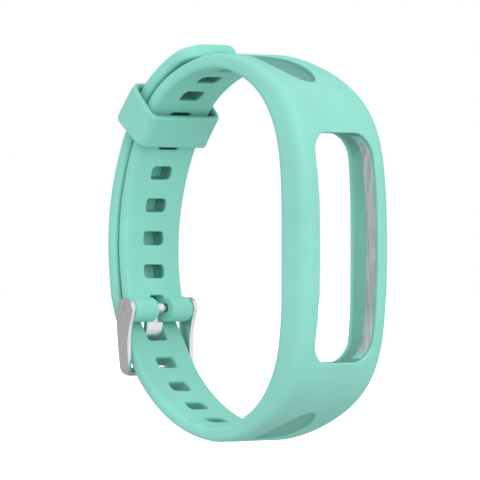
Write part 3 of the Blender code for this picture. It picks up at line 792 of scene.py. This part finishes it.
def build_keeper(material):
    """A loop of band material round both straps, curved to the arc that it slides on."""
    low = BACK_ARC_RADIUS - KEEPER_LAYER_GAP
    high = BACK_ARC_RADIUS + STRAP_THICKNESS + LAYER_GAP + TAIL_THICKNESSES[0] + KEEPER_LAYER_GAP
    middle, half_height = (low + high) / 2, (high - low) / 2
    outlines = []
    for grow, corner in zip((0.0, KEEPER_WALL), KEEPER_CORNERS):
        sizes = (KEEPER_HALF_WIDTH + grow, half_height + grow, corner)
        outlines.append(rounded_rectangle(*sizes, 12, sides=(30, 10)))
    section = rounded_rectangle(KEEPER_WALL / 2, KEEPER_WIDTH / 2, KEEPER_EDGE, 7, sides=(1, 14))
    start, lean = math.radians(KEEPER_ANGLE), math.radians(KEEPER_TILT)
    heart_y, heart_z = middle * math.cos(start), middle * math.sin(start)
    loops = []
    for near, far in zip(*outlines):
        loop = []
        for depth, slide in section:
            share = 0.5 + depth / KEEPER_WALL
            x, rise = (a + (b - a) * share for a, b in zip(near, far))
            turn = start + (slide + KEEPER_SKEW * rise) / middle
            y = (middle + rise) * math.cos(turn) - heart_y
            z = (middle + rise) * math.sin(turn) - heart_z
            y, z = y * math.cos(lean) - z * math.sin(lean), y * math.sin(lean) + z * math.cos(lean)
            loop.append((x, BACK_ARC_CENTRE[0] + heart_y + y, BACK_ARC_CENTRE[1] + heart_z + z))
        loops.append(loop)
    mesh = solid("keeper", loops, closed=True)
    # Painted shade on the keeper's inner faces, where it wraps the straps.
    inner = [np.clip((0.3 - depth / KEEPER_WALL) / 0.6, 0.0, 1.0) for depth, _ in section]
    store_painted_shade(mesh, KEEPER_PAINTED_SHADE * np.tile(inner, len(loops)))
    return finished("keeper_band", mesh, material, "keeper_loop", "keeper")


def lathe(profile, sides=64, closed=False):
    """Turns (x, radius) points about the spring bar's axis."""
    turns = [2 * math.pi * i / sides for i in range(sides)]
    loops = []
    for x, r in profile:
        loops.append([(x, PIVOT[0] + r * math.cos(t), PIVOT[1] + r * math.sin(t)) for t in turns])
    return solid("lathe", loops, closed)


def arm_stations():
    """Half of the buckle, from the boss's top to the bar's middle, and the way that its arm ends.

    Each station is (place, tangent, half width, half thickness, corner radius).
    """
    rows = [(y, z, half) for (y, z), half in zip(ARM_CENTRES, ARM_HALF_WIDTHS)]
    at, end = smooth_through(rows)
    arm_x, thick = ARM_INNER_X + ARM_THICKNESS / 2, ARM_THICKNESS / 2
    boss = ARM_HALF_WIDTHS[0]
    first = at(0.0)[0]
    down = at(0.3)[0, :2] - first[:2]
    down /= np.hypot(*down)
    stations = []
    for i in range(1, 19):
        reach = boss * math.cos(math.pi / 2 * i / 19)
        y, z = first[:2] - down * reach
        half = math.sqrt(boss**2 - reach**2)
        over = max(reach - (boss - ARM_EDGE), 0.0) / ARM_EDGE
        thin = thick - ARM_EDGE * (1.0 - math.sqrt(1.0 - over**2))
        stations.append(((arm_x, y, z), (0.0, *down), half, thin, min(ARM_EDGE, half * 0.9)))
    straight = end - BAR_CORNER
    for length in np.linspace(0.0, straight, 30):
        y, z, half = at(length)[0]
        ahead = at(min(length + 0.1, end))[0, :2] - at(max(length - 0.1, 0.0))[0, :2]
        ahead /= np.hypot(*ahead)
        stations.append(((arm_x, y, z), (0.0, *ahead), half, thick, ARM_EDGE))
    corner = np.array([arm_x - BAR_CORNER, *at(straight)[0, :2]])
    last = np.array([0.0, *ahead])
    half = at(straight)[0, 2]
    tube = BAR_RADIUS * NEARLY_ROUND
    for i in range(1, 15):
        turn = math.pi / 2 * i / 14
        share = i / 14
        sideways = np.array([1.0, 0.0, 0.0])
        place = corner + (sideways * math.cos(turn) + last * math.sin(turn)) * BAR_CORNER
        tangent = last * math.cos(turn) - sideways * math.sin(turn)
        wide = half + (BAR_RADIUS - half) * share
        deep = thick + (BAR_RADIUS - thick) * share
        edge = ARM_EDGE + (tube - ARM_EDGE) * share**2
        edge = min(edge, wide * NEARLY_ROUND, deep * NEARLY_ROUND)
        stations.append((tuple(place), tuple(tangent), wide, deep, edge))
    for x in np.linspace(place[0], 0.0, 8)[1:]:
        stations.append(((x, place[1], place[2]), (-1.0, 0.0, 0.0), BAR_RADIUS, BAR_RADIUS, tube))
    return stations, last


def build_buckle(material):
    """One steel U: two flat arms that taper from round bosses into a round cross bar."""
    right, last = arm_stations()
    mirrored = []
    for place, tangent, wide, thick, edge in right[-2::-1]:
        back = (tangent[0], -tangent[1], -tangent[2])
        mirrored.append(((-place[0], place[1], place[2]), back, wide, thick, edge))
    loops = []
    for place, tangent, wide, thick, edge in right + mirrored:
        tangent = Vector(tangent).normalized()
        flank = Vector((0.0, last[2], -last[1]))
        flank = (flank - tangent * flank.dot(tangent)).normalized()
        across = tangent.cross(flank)
        section = rounded_rectangle(wide, thick, edge, 8, sides=(2, 6))
        loops.append([Vector(place) + flank * a + across * b for a, b in section])
    mesh = solid("buckle", loops)
    reach = ARM_INNER_X + ARM_THICKNESS + 1.0
    hole = lathe([(-reach, ARM_HOLE_RADIUS), (reach, ARM_HOLE_RADIUS)], 40)
    mesh = shape_with_cuts(mesh, [("DIFFERENCE", hole)])
    return finished("buckle_body", mesh, material, "buckle_frame", "buckle", 50)


def tongue_bar(line, half_widths):
    """A flat bar along a smooth line, a little thinner towards its end, and rounded at both ends."""
    at, end = smooth_through(line)
    low, high = half_widths
    over = [TONGUE_END * math.sin(t) for t in (0.4, 0.8, 1.2, 1.5)]
    lengths = [-beyond for beyond in over[::-1]] + [*np.linspace(0.0, end, 36)]
    lengths += [end + beyond for beyond in over]
    loops = []
    for length in lengths:
        inside = min(max(length, 0.0), end)
        y, z = at(inside)[0]
        ahead = at(min(inside + 0.1, end))[0] - at(max(inside - 0.1, 0.0))[0]
        ahead /= np.hypot(*ahead)
        past = length - inside
        shrink = math.sqrt(max(1.0 - (past / TONGUE_END) ** 2, 0.03))
        half = low + (high - low) * (inside / end) ** 2 - 0.3 * (1.0 - shrink)
        thick = TONGUE_HALF_THICKNESS * shrink * (1.0 - 0.2 * inside / end)
        outline = rounded_rectangle(half, thick, min(TONGUE_EDGE, thick * 0.9), 6)
        normal = np.array([ahead[1], -ahead[0]])
        centre = np.array([y, z]) + ahead * past
        loops.append([(x, *(centre + normal * rise)) for x, rise in outline])
    return solid("bar", loops)


def build_tongue(material):
    """The eye that wraps the spring bar, the shank in the knuckle's gap, and the wide blade."""
    shank = tongue_bar(TONGUE_LINE[:4], (SHANK_HALF_WIDTH, SHANK_HALF_WIDTH))
    blade = tongue_bar(TONGUE_LINE[1:], BLADE_HALF_WIDTHS)
    side, edge = SHANK_HALF_WIDTH, TONGUE_RING_EDGE
    outer = [(-side, TONGUE_RING_RADIUS - edge), (-side + edge, TONGUE_RING_RADIUS)]
    eye = outer + [(-x, r) for x, r in outer[::-1]]
    bore = [(-side - 1.0, TONGUE_BORE), (side + 1.0, TONGUE_BORE)]
    steps = [("UNION", blade), ("UNION", lathe(eye)), ("DIFFERENCE", lathe(bore))]
    mesh = shape_with_cuts(shank, steps)
    return finished("buckle_pin", mesh, material, "buckle_tongue", "tongue", 40)


def build_spring_bar(material):
    """The barrel with its ends rolled in, and the two end pins."""
    half = [(BARREL_HALF_LENGTH, BARREL_BORE)]
    half += [(BARREL_HALF_LENGTH - inset, BARREL_RADIUS - below) for inset, below in BARREL_ROLL]
    profile = half + [(-x, r) for x, r in half[::-1]]
    mesh = lathe(profile, closed=True)
    finished("bar_tube", mesh, material, "spring_bar_barrel", "band_body", 50)
    tip, root, full = PLUNGER_TIP_X, PLUNGER_ROOT_X, PLUNGER_RADIUS
    profile = [(root, full * 0.8), (root + 0.1, full)]
    profile += [(tip - 0.05, full), (tip - 0.01, full * 0.9), (tip, full * 0.5)]
    for side, word in ((-1, "left"), (1, "right")):
        mesh = lathe([(side * x, r) for x, r in profile], 40)
        node = f"spring_bar_plunger_{word}"
        finished(f"end_pin_{word}", mesh, material, node, f"plunger_{word}", 50)


# ---------------------------------------------------------------- materials


class Nodes:
    """Short hand for building one material's node tree."""

    def __init__(self, name):
        self.material = bpy.data.materials.new(name)
        self.material.use_nodes = True
        self.tree = self.material.node_tree
        self.shader = self.tree.nodes["Principled BSDF"]

    def add(self, kind, **settings):
        node = self.tree.nodes.new(kind)
        for key, value in settings.items():
            setattr(node, key, value)
        return node

    def join(self, source, target):
        self.tree.links.new(source, target)

    def set(self, **values):
        for key, value in values.items():
            self.shader.inputs[key.replace("_", " ")].default_value = value

    def coordinates(self, stretch=(1.0, 1.0, 1.0)):
        """The piece's own coordinates, in metres, stretched."""
        place = self.add("ShaderNodeTexCoord")
        mapping = self.add("ShaderNodeMapping")
        mapping.inputs["Scale"].default_value = stretch
        self.join(place.outputs["Object"], mapping.inputs["Vector"])
        return mapping.outputs["Vector"]

    def noise(self, vector, scale, detail=2.0, roughness=0.5):
        node = self.add("ShaderNodeTexNoise")
        node.inputs["Scale"].default_value = scale
        node.inputs["Detail"].default_value = detail
        node.inputs["Roughness"].default_value = roughness
        self.join(vector, node.inputs["Vector"])
        return node.outputs["Fac"]

    def ramp(self, value, stops):
        """A colour ramp: stops are (position, colour)."""
        node = self.add("ShaderNodeValToRGB")
        elements = node.color_ramp.elements
        while len(elements) < len(stops):
            elements.new(0.5)
        for element, (position, colour) in zip(elements, stops):
            element.position = position
            element.color = (*colour, 1.0)
        self.join(value, node.inputs["Fac"])
        return node.outputs["Color"]

    def range(self, value, low, high, start=0.3, stop=0.7):
        node = self.add("ShaderNodeMapRange")
        node.inputs["From Min"].default_value = start
        node.inputs["From Max"].default_value = stop
        node.inputs["To Min"].default_value = low
        node.inputs["To Max"].default_value = high
        self.join(value, node.inputs["Value"])
        return node.outputs["Result"]

    def bump(self, height, distance, strength=1.0, before=None):
        node = self.add("ShaderNodeBump")
        node.inputs["Distance"].default_value = distance
        node.inputs["Strength"].default_value = strength
        self.join(height, node.inputs["Height"])
        if before:
            self.join(before, node.inputs["Normal"])
        return node.outputs["Normal"]


def shade(colour, factor):
    """The colour made lighter or darker by a factor."""
    return tuple(min(channel * factor, 1.0) for channel in colour)


def silicone(name, colour):
    """Matte moulded silicone: a soft body colour, a fine moulded grain and faint handling marks, with
    painted shade mixed into its colour where a piece stores it.
    """
    nodes = Nodes(name)
    place = nodes.coordinates()
    cloudy = nodes.noise(place, 120.0, 3.0)
    open_tone = nodes.ramp(cloudy, [(0.3, shade(colour, 0.965)), (0.7, shade(colour, 1.03))])
    # Painted shade: a darker copy of the colour, mixed in where a piece stores shade on its points.
    dark = shade(colour, PAINTED_SHADE_TONE)
    painted_shade_tone = nodes.ramp(cloudy, [(0.3, dark), (0.7, shade(dark, 1.05))])
    painted_shade = nodes.add("ShaderNodeAttribute", attribute_name="painted_shade")
    mix = nodes.add("ShaderNodeMix", data_type="RGBA")
    nodes.join(painted_shade.outputs["Fac"], mix.inputs[0])
    nodes.join(open_tone, mix.inputs[6])
    nodes.join(painted_shade_tone, mix.inputs[7])
    nodes.join(mix.outputs[2], nodes.shader.inputs["Base Color"])
    grain = nodes.noise(place, 5200.0, 3.0, 0.6)
    marks = nodes.noise(nodes.coordinates((1.0, 0.35, 0.35)), 420.0, 3.0)
    nodes.join(nodes.range(marks, 0.46, 0.60), nodes.shader.inputs["Roughness"])
    soft = nodes.bump(cloudy, 0.00006)
    nodes.join(nodes.bump(grain, 0.000012, 0.7, soft), nodes.shader.inputs["Normal"])
    nodes.set(Specular_IOR_Level=0.38, Subsurface_Weight=0.12, Subsurface_Scale=0.0012)
    nodes.shader.inputs["Subsurface Radius"].default_value = (0.5, 1.0, 0.9)
    return nodes.material


def liner_plastic():
    """Grey satin adhesive film with long pale and dark streaks, turning to teal in ragged strands at
    both ends.
    """
    nodes = Nodes("liner_grey")
    streaks = nodes.noise(nodes.coordinates((6.0, 9.0, 1.0)), 160.0, 5.0, 0.65)
    fine = nodes.noise(nodes.coordinates((1.0, 1.0, 0.12)), 4200.0, 3.0)
    dark, middle, pale = (0.34, 0.385, 0.385), (0.47, 0.52, 0.52), (0.66, 0.70, 0.70)
    grey = nodes.ramp(streaks, [(0.34, dark), (0.52, middle), (0.68, pale)])
    parts = nodes.add("ShaderNodeSeparateXYZ")
    nodes.join(nodes.coordinates(), parts.inputs["Vector"])
    height = nodes.add("ShaderNodeMath", operation="ABSOLUTE")
    nodes.join(parts.outputs["Z"], height.inputs[0])
    strands = nodes.noise(nodes.coordinates((1.0, 1.0, 0.16)), 1500.0, 4.0, 0.7)
    ragged = nodes.add("ShaderNodeMath", operation="MULTIPLY_ADD")
    nodes.join(strands, ragged.inputs[0])
    ragged.inputs[1].default_value = LINER_STRANDS
    nodes.join(height.outputs[0], ragged.inputs[2])
    ends = nodes.range(ragged.outputs[0], 0.0, 1.0, *LINER_FADE)
    mix = nodes.add("ShaderNodeMix", data_type="RGBA")
    nodes.join(ends, mix.inputs[0])
    nodes.join(grey, mix.inputs[6])
    nodes.join(nodes.ramp(streaks, [(0.3, shade(TEAL, 0.8)), (0.7, TEAL)]), mix.inputs[7])
    nodes.join(mix.outputs[2], nodes.shader.inputs["Base Color"])
    nodes.join(nodes.range(streaks, 0.50, 0.36), nodes.shader.inputs["Roughness"])
    nodes.join(nodes.bump(fine, 0.00001), nodes.shader.inputs["Normal"])
    nodes.set(Specular_IOR_Level=0.5)
    return nodes.material


def steel(name, colour, roughness, stretch):
    """Brushed stainless steel: hairlines along one direction, with clouded polish."""
    nodes = Nodes(name)
    hair = nodes.noise(nodes.coordinates(stretch), 3600.0, 4.0, 0.7)
    cloud = nodes.noise(nodes.coordinates(), 700.0, 3.0)
    tone = nodes.ramp(hair, [(0.25, shade(colour, 0.92)), (0.75, shade(colour, 1.05))])
    nodes.join(tone, nodes.shader.inputs["Base Color"])
    nodes.join(nodes.range(cloud, roughness - 0.05, roughness + 0.07), nodes.shader.inputs["Roughness"])
    nodes.join(nodes.bump(hair, 0.0000010, 0.25), nodes.shader.inputs["Normal"])
    nodes.set(Metallic=1.0)
    return nodes.material


# ---------------------------------------------------------------- stage


def build_floor():
    """A plain pale floor under the loop. It is lit from within, so that it stays white."""
    low, high = CAD_BOX
    mesh = bpy.data.meshes.new("floor")
    bm = bmesh.new()
    bmesh.ops.create_circle(bm, cap_ends=True, segments=96, radius=FLOOR_RADIUS)
    bm.to_mesh(mesh)
    bm.free()
    floor = bpy.data.objects.new("floor", mesh)
    floor.location = ((low.x + high.x) / 2, (low.y + high.y) / 2, low.z - FLOOR_GAP)
    floor.visible_diffuse = False
    floor.visible_glossy = False
    bpy.context.scene.collection.objects.link(floor)
    nodes = Nodes("floor_white")
    nodes.set(Roughness=0.9, Specular_IOR_Level=0.1, Emission_Strength=0.9)
    nodes.shader.inputs["Base Color"].default_value = (0.6, 0.6, 0.6, 1.0)
    nodes.shader.inputs["Emission Color"].default_value = (1.0, 1.0, 1.0, 1.0)
    mesh.materials.append(nodes.material)


def build_room():
    """A white room: brighter above than below, plain white to look at, with dark bands for the steel."""
    world = bpy.data.worlds.new("white_room")
    world.use_nodes = True
    tree = world.node_tree
    place = tree.nodes.new("ShaderNodeTexCoord")
    parts = tree.nodes.new("ShaderNodeSeparateXYZ")
    tree.links.new(place.outputs["Generated"], parts.inputs["Vector"])
    soft = tree.nodes.new("ShaderNodeMapRange")
    soft.inputs["From Min"].default_value = -1.0
    soft.inputs["To Min"].default_value = ROOM_LIGHT[0]
    soft.inputs["To Max"].default_value = ROOM_LIGHT[1]
    tree.links.new(parts.outputs["Z"], soft.inputs["Value"])
    lit = tree.nodes["Background"]
    lit.inputs["Color"].default_value = (1.0, 1.0, 1.0, 1.0)
    tree.links.new(soft.outputs["Result"], lit.inputs["Strength"])
    bands = tree.nodes.new("ShaderNodeValToRGB")
    lean = tree.nodes.new("ShaderNodeVectorMath")
    lean.operation = "DOT_PRODUCT"
    lean.inputs[1].default_value = GLOSS_LEAN
    tree.links.new(place.outputs["Generated"], lean.inputs[0])
    spread = tree.nodes.new("ShaderNodeMapRange")
    spread.inputs["From Min"].default_value = -1.0
    tree.links.new(lean.outputs["Value"], spread.inputs["Value"])
    tree.links.new(spread.outputs["Result"], bands.inputs["Fac"])
    elements = bands.color_ramp.elements
    while len(elements) < len(GLOSS_BANDS):
        elements.new(0.5)
    for element, (position, tone) in zip(elements, GLOSS_BANDS):
        element.position = position
        element.color = (tone, tone, tone, 1.0)
    mirrored = tree.nodes.new("ShaderNodeBackground")
    tree.links.new(bands.outputs["Color"], mirrored.inputs["Color"])
    seen = tree.nodes.new("ShaderNodeBackground")
    seen.inputs["Color"].default_value = (1.0, 1.0, 1.0, 1.0)
    rays = tree.nodes.new("ShaderNodeLightPath")
    below = lit.outputs["Background"]
    for kind, other in (("Is Glossy Ray", mirrored), ("Is Camera Ray", seen)):
        mix = tree.nodes.new("ShaderNodeMixShader")
        tree.links.new(rays.outputs[kind], mix.inputs["Fac"])
        tree.links.new(below, mix.inputs[1])
        tree.links.new(other.outputs["Background"], mix.inputs[2])
        below = mix.outputs["Shader"]
    tree.links.new(below, tree.nodes["World Output"].inputs["Surface"])
    bpy.context.scene.world = world


def build_key_light():
    """One soft light from the front left, turned to the middle of the loop."""
    data = bpy.data.lights.new("key", "AREA")
    data.size = KEY_SIZE
    data.energy = KEY_POWER
    lamp = bpy.data.objects.new("key", data)
    lamp.location = KEY_PLACE
    lamp.rotation_euler = (-Vector(KEY_PLACE)).to_track_quat("-Z", "Y").to_euler()
    bpy.context.scene.collection.objects.link(lamp)


def build_camera():
    """A long lens, level with the loop, that looks past the window's edge at the inside of the back."""
    turn = math.radians(CAMERA_AZIMUTH)
    back = Vector((math.sin(turn), -math.cos(turn), 0.0))
    data = bpy.data.cameras.new("camera")
    data.sensor_width = 36.0
    data.lens = CAMERA_LENS
    data.clip_start = 0.05
    data.clip_end = 20.0
    camera = bpy.data.objects.new("camera", data)
    camera.location = Vector(CAMERA_AIM) + back * CAMERA_DISTANCE
    camera.rotation_euler = (-back).to_track_quat("-Z", "Y").to_euler()
    bpy.context.scene.collection.objects.link(camera)
    bpy.context.scene.camera = camera


def build():
    path = StripPath(band_rows())
    build_band(path, silicone("band_silicone", TEAL))
    build_keeper(silicone("keeper_silicone", shade(TEAL, 0.97)))
    build_liners(path, liner_plastic())
    build_buckle(steel("buckle_steel", STEEL, 0.25, (1.0, 1.0, 0.06)))
    build_tongue(steel("tongue_steel", shade(STEEL, 1.05), 0.20, (1.0, 1.0, 0.08)))
    build_spring_bar(steel("pin_steel", STEEL, 0.24, (0.08, 1.0, 1.0)))
    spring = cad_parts["spring_bar_spring"]
    spring.data.materials.clear()
    spring.data.materials.append(steel("spring_steel", shade(STEEL, 0.8), 0.3, (1.0, 1.0, 1.0)))
    build_floor()
    build_room()
    build_key_light()
    build_camera()
    bpy.context.scene.view_settings.view_transform = "Standard"


build()
